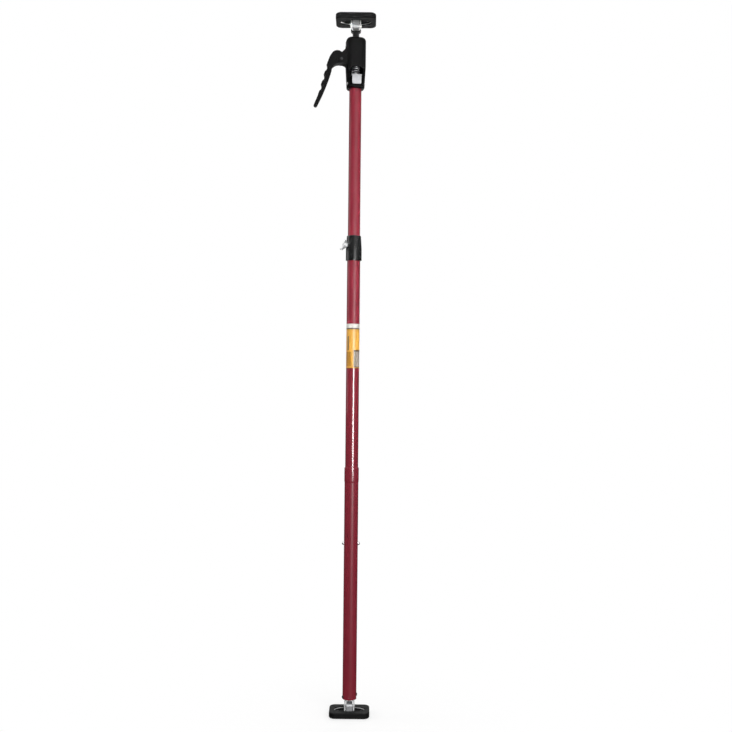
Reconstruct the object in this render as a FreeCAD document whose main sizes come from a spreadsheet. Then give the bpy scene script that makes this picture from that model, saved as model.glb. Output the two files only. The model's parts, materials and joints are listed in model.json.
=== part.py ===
import FreeCAD, Part
import math
import os
import re

import Sketcher

# A telescopic support prop, closed and upright on its floor pad.
# Two painted tubes slide in one another and are held by a clamp collar with a wing screw.
# A push rod leaves the top through a pump handle: squeezing the trigger lifts a drive plate that
# bites the rod and walks it up, and a canted release plate keeps it from sliding back.
# Lengths are millimetres. The origin is the middle of the floor pad's contact face, +Z runs up
# the pole, -Y is the front, where the release tab shows, and the trigger reaches towards -X.

Vector = FreeCAD.Vector

DIMENSIONS = {
    "total_height": 1600,
    "running_gap": 0.05,
    "loose_gap": 0.3,
    # Swivel pads, measured from the contact face
    "pad_length": 92,
    "pad_depth": 72,
    "pad_corner": 14,
    "sole_thick": 6,
    "sole_edge": 4,
    "groove_length": 66,
    "groove_width": 3,
    "groove_corner": 1.2,
    "groove_sink": 1.5,
    "groove_pitch": 14,
    "tray_thick": 7,
    "tray_edge": 2.5,
    "recess_length": 68,
    "recess_width": 36,
    "recess_sink": 5.8,
    "recess_flare": 14,
    "pivot_height": 20.6,
    "lug_width": 14,
    "lug_depth": 20,
    "flange_length": 66,
    "flange_depth": 22,
    "flange_thick": 2,
    "tray_screw_out": 27,
    "tray_screw_head": 7,
    "tray_screw_rise": 1.8,
    "tray_screw_shank": 4,
    # Yokes
    "yoke_width": 23,
    "yoke_thick": 3,
    "yoke_depth": 14,
    "leg_drop": 12.1,
    "leg_corner": 3,
    "yoke_reach": 36.7,
    "yoke_bend": 6,
    "pivot_pin": 6,
    "pin_head": 9,
    "pin_head_rise": 1.4,
    "yoke_rivet": 8,
    "yoke_rivet_head": 10.8,
    "yoke_rivet_rise": 2.5,
    "yoke_rivet_reach": 12,
    # Foot tube and its plug
    "foot_tube_outer": 32,
    "foot_tube_wall": 0.8,
    "foot_tube_bottom": 37,
    "foot_tube_top": 567,
    "mouth_length": 34,
    "mouth_step": 0.6,
    "plug_top": 62,
    "plug_boss": 20,
    "plug_rivet": 4.8,
    "plug_rivet_head": 10,
    "plug_rivet_rise": 1.6,
    "right_rivet_level": 46.9,
    "left_rivet_level": 42,
    "left_rivet_turn": 200,
    "dimple_radius": 5,
    "dimple_sink": 0.5,
    "dimple_level": 43.5,
    # Middle tube and the snap buttons that lock it in the foot tube
    "middle_tube_outer": 30,
    "middle_tube_wall": 0.7,
    "middle_tube_bottom": 360,
    "middle_tube_top": 1090,
    "button_level": 393,
    "button_diameter": 8,
    "button_reach": 20.5,
    "button_collar": 17.6,
    "button_tip": 4.4,
    "clip_thick": 0.8,
    "clip_width": 9,
    "clip_out": 13.3,
    "clip_bottom": 385,
    "clip_shoulder": 411,
    # Clamp collar, wing screw and shoe
    "collar_bottom": 1041,
    "collar_top": 1098,
    "collar_outer": 36.4,
    "collar_crown": 32.4,
    "collar_straight": 26,
    "collar_edge": 1.2,
    "clamp_level": 1075,
    "clamp_turn": 215,
    "boss_diameter": 13,
    "boss_out": 20,
    "nut_across": 10,
    "nut_thick": 3,
    "shoe_diameter": 7.8,
    "shoe_out": 15.1,
    "screw_diameter": 6,
    "hub_start": 21,
    "hub_end": 29,
    "hub_diameter": 10,
    "wing_span": 29,
    "wing_thick": 3,
    "wing_root": 1.5,
    "wing_sweep": 3.6,
    "wing_tip": 4,
    "wing_rest": 38,
    # Upper tube
    "upper_tube_outer": 28,
    "upper_tube_wall": 0.8,
    "upper_tube_bottom": 426,
    "upper_tube_top": 1460,
    # Handle housing
    "handle_turn": 9,
    "handle_bottom": 1434,
    "handle_waist": 1484,
    "handle_top": 1551,
    "handle_width": 45,
    "handle_depth": 40,
    "handle_corner": 14,
    "handle_foot_width": 39.5,
    "handle_foot_depth": 39,
    "handle_foot_edge": 3.5,
    "shoulder": 9,
    "neck_diameter": 21,
    "neck_rise": 1.6,
    "shelf_bottom": 1484.5,
    "shelf_top": 1490.4,
    "chamber_top": 1546,
    "chamber_width": 38,
    "chamber_depth": 33,
    "chamber_corner": 9,
    "well_width": 35,
    "socket_diameter": 35,
    "socket_top": 1460.5,
    "window_width": 31,
    "window_bottom": 1440.4,
    "window_spring": 1476,
    "window_arch": 20,
    "heel_ledge_depth": 3,
    "pivot_out": 34,
    "pivot_level": 1499.5,
    "ear_radius": 9,
    "ear_room": 10,
    "ear_span": 26,
    "ear_high_turn": 141.1,
    "ear_low_turn": 225,
    "ear_foot": 1486.5,
    "ear_hollow": 12,
    "ear_hollow_out": 30,
    "ear_root": 22.1,
    "slot_span": 18,
    "slot_roof": 1513.6,
    "slot_floor": 1480,
    "notch_out": 32,
    "notch_level": 1516.3,
    "flare_top": 1537,
    "flare_hollow": 24,
    "handle_screw_out": 17,
    "handle_screw_high": 1541,
    "handle_screw_low": 1487.4,
    "handle_screw_shank": 3.5,
    "handle_screw_head": 6.6,
    "handle_screw_seat": 14.2,
    "handle_screw_tip": 9,
    "handle_boss": 8.4,
    "tube_rivet": 4.8,
    "tube_rivet_head": 8.4,
    "tube_rivet_rise": 1.8,
    "tube_rivet_level": 1444.5,
    "tube_rivet_seat": 20.2,
    "tube_rivet_lean": 20,
    "tube_rivet_tip": 10,
    # Trigger
    "trigger_span": 22,
    "knuckle_span": 17.4,
    "trigger_pin": 6,
    "trigger_edge": 0.6,
    "hump_radius": 25,
    "hump_low_turn": 152,
    "hump_round": 15,
    "hump_bow": 41,
    "hump_foot_out": 31.2,
    "hump_foot_rise": 14.5,
    "nose_radius": 5,
    "nose_out": 20,
    "throat_radius": 19,
    "throat_out": 56.6,
    "throat_drop": 29.3,
    "chin_out": 38,
    "chin_drop": 9.5,
    "tip_start": 27,
    "tip_end": 32.6,
    "tip_outer": 2.4,
    "tip_inner": 6.2,
    "tip_round": 4.6,
    "inner_bow": 400,
    "grip_start_out": 31.9,
    "grip_start_drop": 8.6,
    "grip_lean": 15.6,
    "crest_pitch": 23.6,
    "crest_radius": 4,
    "groove_radius": 17,
    # Rod and the plates that hold it
    "rod_diameter": 15,
    "rod_wall": 1.5,
    "rod_bottom": 690,
    "rod_plug_length": 28,
    "rod_bore": 15.6,
    "stop_bush_length": 10,
    "stop_pin": 4,
    "guide_length": 19,
    "guide_flange": 27.8,
    "guide_flange_rise": 1.6,
    "drive_plate_low": 1504.65,
    "drive_plate_thick": 4,
    "drive_plate_left": 16.3,
    "drive_plate_right": 15,
    "drive_plate_depth": 26,
    "drive_spring_coil": 20,
    "drive_spring_wire": 2,
    "drive_spring_turns": 7,
    "release_cant": 4,
    "release_heel": 15.6,
    "release_level": 1464,
    "release_thick": 2.5,
    "release_width": 24,
    "release_hole": 15.5,
    "release_front": 36,
    "tab_width": 21,
    "tab_drop": 19.5,
    "tab_corner": 3,
    "tab_bend": 4,
    "release_spring_coil": 18.6,
    "release_spring_wire": 1.8,
    "release_spring_turns": 4,
    "release_spring_low": 1467.2,
}

SPRING_SIDES = 6
SPRING_STEPS_PER_TURN = 14
GROOVES_IN_SOLE = 4
FINGER_GROOVES = 3

doc = FreeCAD.newDocument("telescopic_prop")
sheet = doc.addObject("Spreadsheet::Sheet", "dims")
for row, (alias, value) in enumerate(DIMENSIONS.items(), start=1):
    sheet.set("A%d" % row, alias)
    sheet.set("B%d" % row, str(value))
    sheet.setAlias("B%d" % row, alias)
doc.recompute()

subparts = {}


def formula(text):
    """Write a size, given in the sheet's words, as an expression on the sheet."""

    def on_sheet(word):
        return "dims." + word.group() if word.group() in DIMENSIONS else word.group()

    return re.sub(r"[a-z]\w*", on_sheet, str(text))


def size(text):
    """Work such a size out, in millimetres or degrees."""
    return float(sheet.evalExpression(formula(text)))


def bind(thing, **sizes):
    for name, text in sizes.items():
        thing.setExpression(name, formula(text))
    return thing


def place(thing, x="0", y="0", z="0", axis=(0, 0, 1), angle="0"):
    """Put a thing at a point, turned by an angle about an axis."""
    turn = FreeCAD.Rotation(Vector(*axis), size(angle))
    thing.Placement = FreeCAD.Placement(Vector(size(x), size(y), size(z)), turn)
    for path, text in (("Base.x", x), ("Base.y", y), ("Base.z", z), ("Rotation.Angle", angle)):
        if text != "0":
            thing.setExpression("Placement." + path, formula(text))
    return thing


def cylinder(name, radius, height, **where):
    return place(bind(doc.addObject("Part::Cylinder", name), Radius=radius, Height=height), **where)


def cross_cylinder(name, radius, start, end, y="0", z="0"):
    """A cylinder along X, from start to end."""
    length = "(%s) - (%s)" % (end, start)
    return cylinder(name, radius, length, x=start, y=y, z=z, axis=(0, 1, 0), angle="90")


def deep_cylinder(name, radius, start, end, x="0", z="0"):
    """A cylinder along Y, from start to end."""
    length = "(%s) - (%s)" % (end, start)
    return cylinder(name, radius, length, x=x, y=end, z=z, axis=(1, 0, 0), angle="90")


def cone(name, base_radius, end_radius, height, **where):
    thing = doc.addObject("Part::Cone", name)
    return place(bind(thing, Radius1=base_radius, Radius2=end_radius, Height=height), **where)


def block(name, low, high):
    """A box between two corners."""
    spans = ["(%s) - (%s)" % (far, near) for near, far in zip(low, high)]
    thing = bind(doc.addObject("Part::Box", name), Length=spans[0], Width=spans[1], Height=spans[2])
    return place(thing, *low)


def fuse(name, *shapes):
    thing = doc.addObject("Part::MultiFuse", name)
    thing.Shapes = list(shapes)
    thing.Refine = True
    return thing


def common(name, *shapes):
    thing = doc.addObject("Part::MultiCommon", name)
    thing.Shapes = list(shapes)
    return thing


def cut(name, base, *tools):
    thing = doc.addObject("Part::Cut", name)
    thing.Base = base
    thing.Tool = tools[0] if len(tools) == 1 else fuse(name + "_tools", *tools)
    thing.Refine = True
    return thing


def group(name, *shapes, **where):
    """Separate solids kept together, or one thing turned as a whole."""
    thing = doc.addObject("Part::Compound", name)
    thing.Links = list(shapes)
    return place(thing, **where)


def keep(node, thing):
    """Name a finished sub-part."""
    thing.Label = node
    subparts[node] = thing
    return thing


def origin_plane(body, role):
    return next(feature for feature in body.Origin.OriginFeatures if feature.Role == role)


def arc_between(start, end, radius, hollow):
    """The short arc from start to end of an outline drawn anticlockwise."""
    chord = end - start
    reach = math.sqrt(max(radius**2 - (chord.Length / 2) ** 2, 0))
    left = Vector(-chord.y, chord.x, 0).normalize()
    centre = (start + end) * 0.5 + left * (-reach if hollow else reach)
    first, last = (end, start) if hollow else (start, end)
    circle = Part.Circle(centre, Vector(0, 0, 1), radius)
    angles = [math.atan2(point.y - centre.y, point.x - centre.x) for point in (first, last)]
    return Part.ArcOfCircle(circle, *angles)


def outline(body, name, role, points, lift="0"):
    """Draw a closed outline, anticlockwise, on one of a body's origin planes.

    A point is (across, up), or (across, up, radius) where an arc leaves it, or
    (across, up, radius, "hollow") where that arc curves into the outline.
    """
    sketch = body.newObject("Sketcher::SketchObject", name)
    sketch.AttachmentSupport = [(origin_plane(body, role), "")]
    sketch.MapMode = "FlatFace"
    if lift != "0":
        sketch.setExpression("AttachmentOffset.Base.z", formula(lift))
    spots = [Vector(size(point[0]), size(point[1]), 0) for point in points]
    starts = []
    ends = []
    for index, point in enumerate(points):
        start = spots[index]
        end = spots[(index + 1) % len(points)]
        hollow = len(point) == 4
        if len(point) == 2:
            sketch.addGeometry(Part.LineSegment(start, end), False)
        else:
            sketch.addGeometry(arc_between(start, end, size(point[2]), hollow), False)
            turn = sketch.addConstraint(Sketcher.Constraint("Radius", index, size(point[2])))
            sketch.setExpression("Constraints[%d]" % turn, formula(point[2]))
        starts.append(2 if hollow else 1)
        ends.append(1 if hollow else 2)
    for index, point in enumerate(points):
        following = (index + 1) % len(points)
        joint = Sketcher.Constraint("Coincident", index, ends[index], following, starts[following])
        sketch.addConstraint(joint)
        for kind, text in (("DistanceX", point[0]), ("DistanceY", point[1])):
            gap = Sketcher.Constraint(kind, -1, 1, index, starts[index], size(text))
            sketch.setExpression("Constraints[%d]" % sketch.addConstraint(gap), formula(text))
    return sketch


def new_body(name):
    return doc.addObject("PartDesign::Body", name)


def pad(body, sketch, length, both_ways=False):
    feature = body.newObject("PartDesign::Pad", sketch.Name + "_pad")
    feature.Profile = sketch
    bind(feature, Length=length)
    if both_ways:
        feature.SideType = "Symmetric"
    return feature


def prism(name, role, points, length, both_ways=True, **where):
    """An outline drawn on an origin plane and pushed out square to it."""
    body = new_body(name)
    pad(body, outline(body, name + "_outline", role, points), length, both_ways)
    return place(body, **where)


def turned(name, profile, **where):
    """A profile of (radius, height) points turned about the Z axis."""
    body = new_body(name)
    sketch = outline(body, name + "_profile", "XZ_Plane", profile)
    feature = body.newObject("PartDesign::Revolution", name + "_turning")
    feature.Profile = sketch
    feature.ReferenceAxis = (sketch, ["V_Axis"])
    feature.Angle = 360
    return place(body, **where)


def round_edges(body, feature, radius, wanted):
    """Round the edges of a feature for which wanted(edge) is true."""
    doc.recompute()
    names = ["Edge%d" % (i + 1) for i, edge in enumerate(feature.Shape.Edges) if wanted(edge)]
    fillet = body.newObject("PartDesign::Fillet", feature.Name + "_round")
    fillet.Base = (feature, names)
    bind(fillet, Radius=radius)
    return fillet


def level_edges(height):
    """Pick the edges that lie at one height."""
    return lambda edge: max(abs(edge.BoundBox.ZMin - height), abs(edge.BoundBox.ZMax - height)) < 1e-4


def rounded_rectangle(length, depth, corner):
    """The eight points of a rectangle with round corners, centred on the origin."""
    side = "(%s) / 2" % length
    front = "(%s) / 2" % depth
    inner_side = "(%s) / 2 - (%s)" % (length, corner)
    inner_front = "(%s) / 2 - (%s)" % (depth, corner)
    return [
        ("-(%s)" % inner_side, "-(%s)" % front),
        (inner_side, "-(%s)" % front, corner),
        (side, "-(%s)" % inner_front),
        (side, inner_front, corner),
        (inner_side, front),
        ("-(%s)" % inner_side, front, corner),
        ("-(%s)" % side, inner_front),
        ("-(%s)" % side, "-(%s)" % inner_front, corner),
    ]


def tube(name, outer, wall, bottom, top):
    """A plain round tube standing on the pole's axis."""
    outer_radius = "%s / 2" % outer
    inner_radius = "%s / 2 - %s" % (outer, wall)
    length = "%s - %s" % (top, bottom)
    profile = [(inner_radius, "0"), (outer_radius, "0"), (outer_radius, length), (inner_radius, length)]
    return turned(name, profile, z=bottom)


def rubber_sole(end, where):
    body = new_body(end + "_sole_body")
    plan = rounded_rectangle("pad_length", "pad_depth", "pad_corner")
    sketch = outline(body, end + "_sole_plan", "XY_Plane", plan)
    slab = pad(body, sketch, "sole_thick")
    rounded = round_edges(body, slab, "sole_edge", level_edges(0))
    slot = rounded_rectangle("groove_length", "groove_width", "groove_corner")
    first_row = "groove_pitch * %d / 2" % (GROOVES_IN_SOLE - 1)
    slot = [(point[0], "%s - %s" % (point[1], first_row)) + point[2:] for point in slot]
    groove_plan = outline(body, end + "_groove_plan", "XY_Plane", slot)
    groove = body.newObject("PartDesign::Pocket", end + "_groove")
    groove.Profile = groove_plan
    groove.Reversed = True
    bind(groove, Length="groove_sink")
    rows = body.newObject("PartDesign::LinearPattern", end + "_grooves")
    rows.Originals = [groove]
    rows.Direction = (groove_plan, ["V_Axis"])
    rows.Occurrences = GROOVES_IN_SOLE
    bind(rows, Length="groove_pitch * %d" % (GROOVES_IN_SOLE - 1))
    body.Tip = rows
    doc.recompute()
    if body.Shape.Volume >= rounded.Shape.Volume:
        raise ValueError("the sole's grooves cut nothing")
    bed = lug_flange(end + "_flange_bed")
    keep(end + "_sole", place(cut(end + "_sole_cut", body, bed), **where))


def lug_flange(name):
    """The plate under a lug, which lies in the top of the sole."""
    return block(
        name,
        ("-flange_length / 2", "-flange_depth / 2", "sole_thick - flange_thick"),
        ("flange_length / 2", "flange_depth / 2", "sole_thick"),
    )


def pad_tray(end, where):
    body = new_body(end + "_tray_blank")
    plan = rounded_rectangle("pad_length", "pad_depth", "pad_corner")
    slab = pad(body, outline(body, end + "_tray_plan", "XY_Plane", plan), "tray_thick")
    round_edges(body, slab, "tray_edge", level_edges(size("tray_thick")))
    place(body, z="sole_thick")
    rim = doc.addObject("Part::Ellipse", end + "_recess_rim")
    bind(rim, MajorRadius="recess_length / 2", MinorRadius="recess_width / 2")
    place(rim, z="sole_thick + tray_thick - recess_sink")
    recess = doc.addObject("Part::Extrusion", end + "_recess")
    recess.Base = rim
    recess.DirMode = "Custom"
    recess.Dir = Vector(0, 0, 1)
    recess.Solid = True
    bind(recess, LengthFwd="recess_sink + 1", TaperAngle="recess_flare")
    lug_slot = block(
        end + "_lug_slot",
        ("-lug_width / 2", "-lug_depth / 2", "sole_thick"),
        ("lug_width / 2", "lug_depth / 2", "sole_thick + tray_thick"),
    )
    holes = [
        cylinder(end + "_tray_hole_%d" % i, "tray_screw_shank / 2", "tray_thick", x=x, z="sole_thick")
        for i, x in enumerate(("-tray_screw_out", "tray_screw_out"))
    ]
    keep(end + "_tray", place(cut(end + "_tray_cut", body, recess, lug_slot, *holes), **where))


def pad_lug(end, where):
    flange = lug_flange(end + "_flange")
    bottom = "sole_thick - flange_thick"
    neck = block(
        end + "_lug_neck",
        ("-lug_width / 2", "-lug_depth / 2", bottom),
        ("lug_width / 2", "lug_depth / 2", "pivot_height"),
    )
    eye = cross_cylinder(end + "_lug_eye", "lug_depth / 2", "-lug_width / 2", "lug_width / 2",
                         z="pivot_height")
    bore = cross_cylinder(end + "_lug_bore", "pivot_pin / 2", "-lug_width", "lug_width", z="pivot_height")
    holes = [
        cylinder(end + "_flange_hole_%d" % i, "tray_screw_shank / 2", "flange_thick", x=x, z=bottom)
        for i, x in enumerate(("-tray_screw_out", "tray_screw_out"))
    ]
    blank = fuse(end + "_lug_blank", flange, neck, eye)
    keep(end + "_lug", place(cut(end + "_lug_cut", blank, bore, *holes), **where))


def tray_screws(end, where):
    screws = []
    floor = "sole_thick + tray_thick - recess_sink"
    for i, x in enumerate(("-tray_screw_out", "tray_screw_out")):
        name = end + "_tray_screw_%d" % i
        head = cone(name + "_head", "tray_screw_head / 2", "tray_screw_head / 3", "tray_screw_rise", x=x,
                    z=floor)
        length = "tray_thick - recess_sink + flange_thick"
        shank = cylinder(name + "_shank", "tray_screw_shank / 2", length, x=x, z="sole_thick - flange_thick")
        screws.append(fuse(name, head, shank))
    keep(end + "_tray_screws", group(end + "_screw_pair", *screws, **where))


def pivot_pin(end, where):
    leg = "yoke_width / 2"
    shank = cross_cylinder(end + "_pin_shank", "pivot_pin / 2", "-" + leg, leg, z="pivot_height")
    heads = []
    for i, (start, turn) in enumerate(((leg + " + running_gap", "90"), ("-(%s + running_gap)" % leg, "-90"))):
        name = end + "_pin_head_%d" % i
        stub = cylinder(name + "_stub", "pivot_pin / 2", "2 * running_gap", x=start, z="pivot_height",
                        axis=(0, 1, 0), angle="-(%s)" % turn)
        dome = cone(name, "pin_head / 2", "pin_head / 3", "pin_head_rise", x=start, z="pivot_height",
                    axis=(0, 1, 0), angle=turn)
        heads += [stub, dome]
    keep(end + "_pivot_pin", place(fuse(end + "_pin", shank, *heads), **where))


def yoke(end, where):
    side = "yoke_width / 2"
    inner = "yoke_width / 2 - yoke_thick"
    bend_top = "yoke_reach - yoke_bend"
    web = "yoke_reach - yoke_thick"
    corner = "yoke_width / 2 - yoke_bend"
    low = "pivot_height - leg_drop"
    outer_bend = "yoke_bend"
    inner_bend = "yoke_bend - yoke_thick"
    section = [
        (side, low),
        (side, bend_top, outer_bend),
        (corner, "yoke_reach"),
        ("-(%s)" % corner, "yoke_reach", outer_bend),
        ("-(%s)" % side, bend_top),
        ("-(%s)" % side, low),
        ("-(%s)" % inner, low),
        ("-(%s)" % inner, bend_top, inner_bend, "hollow"),
        ("-(%s)" % corner, web),
        (corner, web, inner_bend, "hollow"),
        (inner, bend_top),
        (inner, low),
    ]
    strap = prism(end + "_yoke_strap", "XZ_Plane", section, "yoke_depth")
    front = "yoke_depth / 2"
    leg = [
        ("-%s + leg_corner" % front, low),
        ("%s - leg_corner" % front, low, "leg_corner"),
        (front, low + " + leg_corner"),
        (front, "yoke_reach"),
        ("-" + front, "yoke_reach"),
        ("-" + front, low + " + leg_corner", "leg_corner"),
    ]
    side_view = prism(end + "_yoke_side", "YZ_Plane", leg, "yoke_width")
    blank = common(end + "_yoke_blank", strap, side_view)
    pin_hole = cross_cylinder(end + "_pin_hole", "pivot_pin / 2 + running_gap", "-yoke_width", "yoke_width",
                              z="pivot_height")
    rivet_hole = cylinder(end + "_rivet_hole", "yoke_rivet / 2", "yoke_reach")
    keep(end + "_yoke", place(cut(end + "_yoke_cut", blank, pin_hole, rivet_hole), **where))


def yoke_rivet(end, where):
    face = "yoke_reach - yoke_thick"
    head_edge = "yoke_rivet_rise * 0.4"
    profile = [
        ("0", "-yoke_rivet_rise"),
        ("yoke_rivet_head / 4", "-yoke_rivet_rise"),
        ("yoke_rivet_head / 2", "-(%s)" % head_edge),
        ("yoke_rivet_head / 2", "0"),
        ("yoke_rivet / 2", "0"),
        ("yoke_rivet / 2", "yoke_thick + yoke_rivet_reach"),
        ("0", "yoke_thick + yoke_rivet_reach"),
    ]
    rivet = turned(end + "_rivet_body", profile, z=face)
    keep(end + "_yoke_rivet", group(end + "_rivet_set", rivet, **where))


def swivel_pad(end, where):
    rubber_sole(end, where)
    pad_tray(end, where)
    pad_lug(end, where)
    tray_screws(end, where)
    pivot_pin(end, where)
    yoke(end, where)
    yoke_rivet(end, where)


def radial_rivet(name, diameter, head, rise, seat, tip, hull_radius):
    """A rivet along X whose head sits on a round surface of the given radius."""
    dome = cone(name + "_dome", "%s / 2" % head, "%s / 4" % head, "%s + 2" % rise, x="%s - 2" % seat,
                axis=(0, 1, 0), angle="90")
    hull = cylinder(name + "_hull", hull_radius, "4 * %s" % head, z="-2 * %s" % head)
    shank = cross_cylinder(name + "_shank", "%s / 2" % diameter, tip, seat)
    return fuse(name, cut(name + "_head", dome, hull), shank)


def plug_rivet_places():
    return (("right", "right_rivet_level", "0"), ("left", "left_rivet_level", "left_rivet_turn"))


def plug_rivet_holes(piece):
    holes = []
    for side, level, turn in plug_rivet_places():
        name = "%s_%s_rivet" % (piece, side)
        bore = cross_cylinder(name + "_bore", "plug_rivet / 2", "foot_tube_outer / 6", "foot_tube_outer")
        holes.append(group(name + "_hole", bore, z=level, angle=turn))
    return holes


def foot_plug():
    core = "foot_tube_outer / 2 - foot_tube_wall"
    profile = [
        ("yoke_rivet / 2", "yoke_reach"),
        ("plug_boss / 2", "yoke_reach"),
        ("plug_boss / 2", "foot_tube_bottom"),
        (core, "foot_tube_bottom"),
        (core, "plug_top - 3"),
        (core + " - 3", "plug_top"),
        ("0", "plug_top"),
        ("0", "yoke_reach + yoke_rivet_reach"),
        ("yoke_rivet / 2", "yoke_reach + yoke_rivet_reach"),
    ]
    keep("foot_plug", cut("foot_plug_cut", turned("foot_plug_body", profile), *plug_rivet_holes("plug")))


def plug_rivets():
    rivets = []
    for side, level, turn in plug_rivet_places():
        rivet = radial_rivet(side + "_plug_rivet", "plug_rivet", "plug_rivet_head", "plug_rivet_rise",
                             "foot_tube_outer / 2", "foot_tube_outer / 6", "foot_tube_outer / 2")
        rivets.append(group(side + "_plug_rivet_set", rivet, z=level, angle=turn))
    keep("plug_rivets", group("plug_rivet_pair", *rivets))


def foot_tube():
    outer = "foot_tube_outer / 2"
    inner = "foot_tube_outer / 2 - foot_tube_wall"
    wide_outer = outer + " + mouth_step"
    wide_inner = inner + " + mouth_step"
    mouth = "foot_tube_top - mouth_length"
    flare = "mouth_step * 5"
    profile = [
        (inner, "foot_tube_bottom"),
        (outer, "foot_tube_bottom"),
        (outer, mouth),
        (wide_outer, "%s + %s" % (mouth, flare)),
        (wide_outer, "foot_tube_top - mouth_step"),
        (outer, "foot_tube_top"),
        (wide_inner, "foot_tube_top"),
        (wide_inner, "%s + %s" % (mouth, flare)),
        (inner, mouth),
    ]
    buttons = cross_cylinder("foot_tube_button_holes", "button_diameter / 2 + 2 * running_gap",
                             "-foot_tube_outer", "foot_tube_outer", z="button_level")
    dimples = []
    for i, side in enumerate(("-1", "1")):
        dimple = bind(doc.addObject("Part::Sphere", "dimple_%d" % i), Radius="dimple_radius")
        depth = "%s * (foot_tube_outer / 2 + dimple_radius - dimple_sink)" % side
        dimples.append(place(dimple, y=depth, z="dimple_level"))
    blank = turned("foot_tube_body", profile)
    keep("foot_tube", cut("foot_tube_cut", blank, buttons, *dimples, *plug_rivet_holes("foot_tube")))


def middle_tube():
    blank = tube("middle_tube_body", "middle_tube_outer", "middle_tube_wall", "middle_tube_bottom",
                 "middle_tube_top")
    buttons = cross_cylinder("middle_tube_button_holes", "button_diameter / 2 + 2 * running_gap",
                             "-middle_tube_outer", "middle_tube_outer", z="button_level")
    shoe_bore = cross_cylinder("middle_tube_shoe_bore", "shoe_diameter / 2 + 2 * running_gap", "0",
                               "middle_tube_outer")
    shoe_hole = group("middle_tube_shoe_hole", shoe_bore, z="clamp_level", angle="clamp_turn")
    keep("middle_tube", cut("middle_tube_cut", blank, buttons, shoe_hole))


def snap_clip():
    """A spring strip bent into an arch, with a button riveted to each leg."""
    inner = "clip_out - clip_thick"
    strip = [
        ("clip_out", "clip_bottom"),
        ("clip_out", "clip_shoulder", "clip_out"),
        ("0", "clip_shoulder + clip_out", "clip_out"),
        ("-clip_out", "clip_shoulder"),
        ("-clip_out", "clip_bottom"),
        ("-(%s)" % inner, "clip_bottom"),
        ("-(%s)" % inner, "clip_shoulder", inner, "hollow"),
        ("0", "clip_shoulder + %s" % inner, inner, "hollow"),
        (inner, "clip_shoulder"),
        (inner, "clip_bottom"),
    ]
    keep("snap_clip", prism("snap_clip_body", "XZ_Plane", strip, "clip_width"))


def snap_buttons():
    radius = "button_diameter / 2"
    profile = [
        ("0", "clip_out"),
        (radius, "clip_out"),
        (radius, "button_collar"),
        ("button_tip / 2", "button_reach"),
        ("0", "button_reach"),
    ]
    for side, turn in (("left", "-90"), ("right", "90")):
        button = turned(side + "_button_body", profile, z="button_level", axis=(0, 1, 0), angle=turn)
        keep("snap_button_" + side, button)


def clamp_collar():
    radius = "collar_outer / 2"
    crown = "collar_crown / 2"
    height = "collar_top - collar_bottom"
    profile = [
        ("0", "0"),
        (radius + " - collar_edge", "0", "collar_edge"),
        (radius, "collar_edge"),
        (radius, "collar_straight"),
        (crown, height + " - collar_edge", "collar_edge"),
        (crown + " - collar_edge", height),
        ("0", height),
    ]
    ring = turned("collar_ring", profile, z="collar_bottom - clamp_level")
    boss = cross_cylinder("collar_boss", "boss_diameter / 2", "0", "boss_out")
    tube_bore = cylinder("collar_tube_bore", "middle_tube_outer / 2", "middle_tube_top - collar_bottom",
                         z="collar_bottom - clamp_level")
    lip_bore = cylinder("collar_lip_bore", "upper_tube_outer / 2 + loose_gap / 2", height,
                        z="collar_bottom - clamp_level")
    shoe_bore = cross_cylinder("collar_shoe_bore", "shoe_diameter / 2 + 2 * running_gap", "0",
                               "boss_out - nut_thick")
    pocket = hexagon("collar_nut_pocket")
    blank = fuse("collar_blank", ring, boss)
    shaped = cut("collar_cut", blank, tube_bore, lip_bore, shoe_bore, pocket)
    keep("clamp_collar", place(shaped, z="clamp_level", angle="clamp_turn"))


def hexagon(name):
    """The outline of the clamp nut, as a prism along X that ends at the boss's face."""
    prism_shape = doc.addObject("Part::Prism", name)
    prism_shape.Polygon = 6
    bind(prism_shape, Circumradius="nut_across / 2 / cos(30)", Height="nut_thick")
    return place(prism_shape, x="boss_out - nut_thick", axis=(0, 1, 0), angle="90")


def collar_nut():
    bore = cross_cylinder("nut_bore", "screw_diameter / 2", "0", "2 * boss_out")
    nut = cut("nut_cut", hexagon("nut_blank"), bore)
    keep("collar_nut", place(nut, z="clamp_level", angle="clamp_turn"))


def clamp_shoe():
    """The pad under the screw, hollowed to the upper tube's curve."""
    stub = cross_cylinder("shoe_stub", "shoe_diameter / 2", "upper_tube_outer / 3", "shoe_out")
    pole = cylinder("shoe_hollow", "upper_tube_outer / 2 + running_gap", "2 * shoe_diameter",
                    z="-shoe_diameter")
    keep("clamp_shoe", place(cut("shoe_cut", stub, pole), z="clamp_level", angle="clamp_turn"))


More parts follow.
